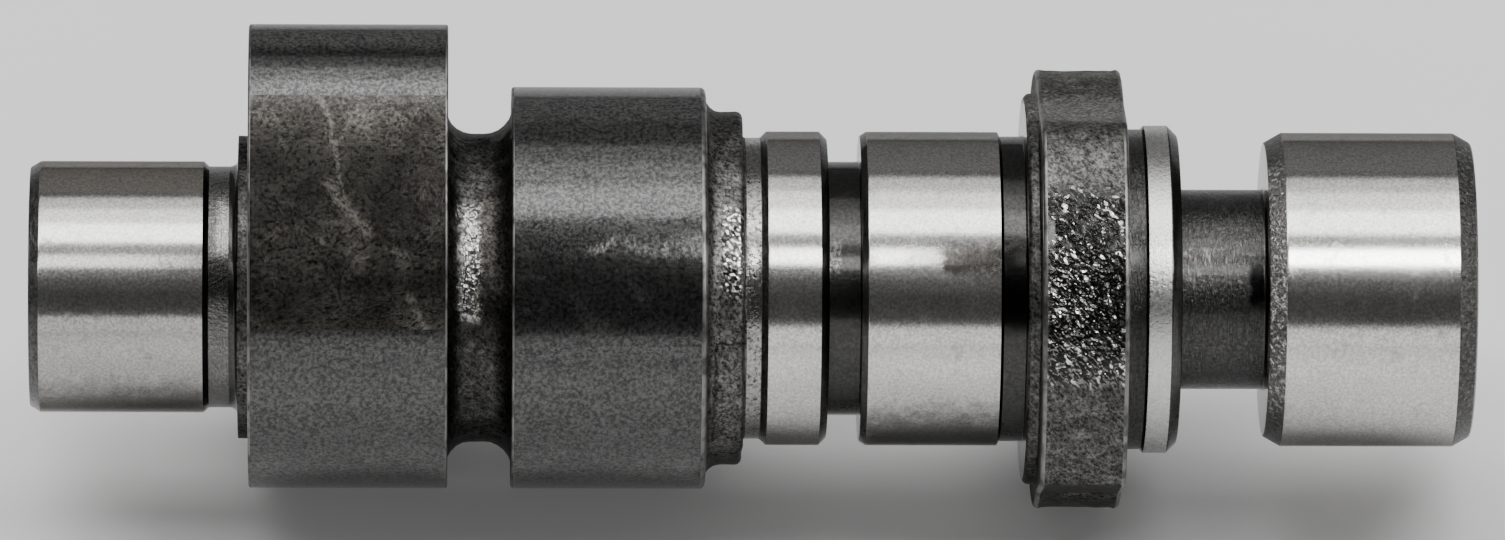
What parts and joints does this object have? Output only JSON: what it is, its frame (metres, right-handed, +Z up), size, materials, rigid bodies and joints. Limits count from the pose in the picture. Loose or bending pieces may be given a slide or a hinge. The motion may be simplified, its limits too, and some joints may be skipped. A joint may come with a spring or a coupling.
{
  "type": "camshaft",
  "caption": "Short two-lobe camshaft with plain bearing journals, an oil groove, a lugged flange and a thrust groove, for a small single-cylinder engine.",
  "frame": {"origin": "on the shaft's axis, halfway along the small journal", "axes": "+X along the shaft from the small journal to the end journal, +Z up as the shaft lies on a table"},
  "size_m": [0.1147, 0.042, 0.0394],
  "materials": {
    "forged_steel": "ground bright on the journals and ring, black on the ground cams, black as forged elsewhere"
  },
  "bodies": {
    "root": {"camshaft": "forged_steel"}
  },
  "joints": []
}
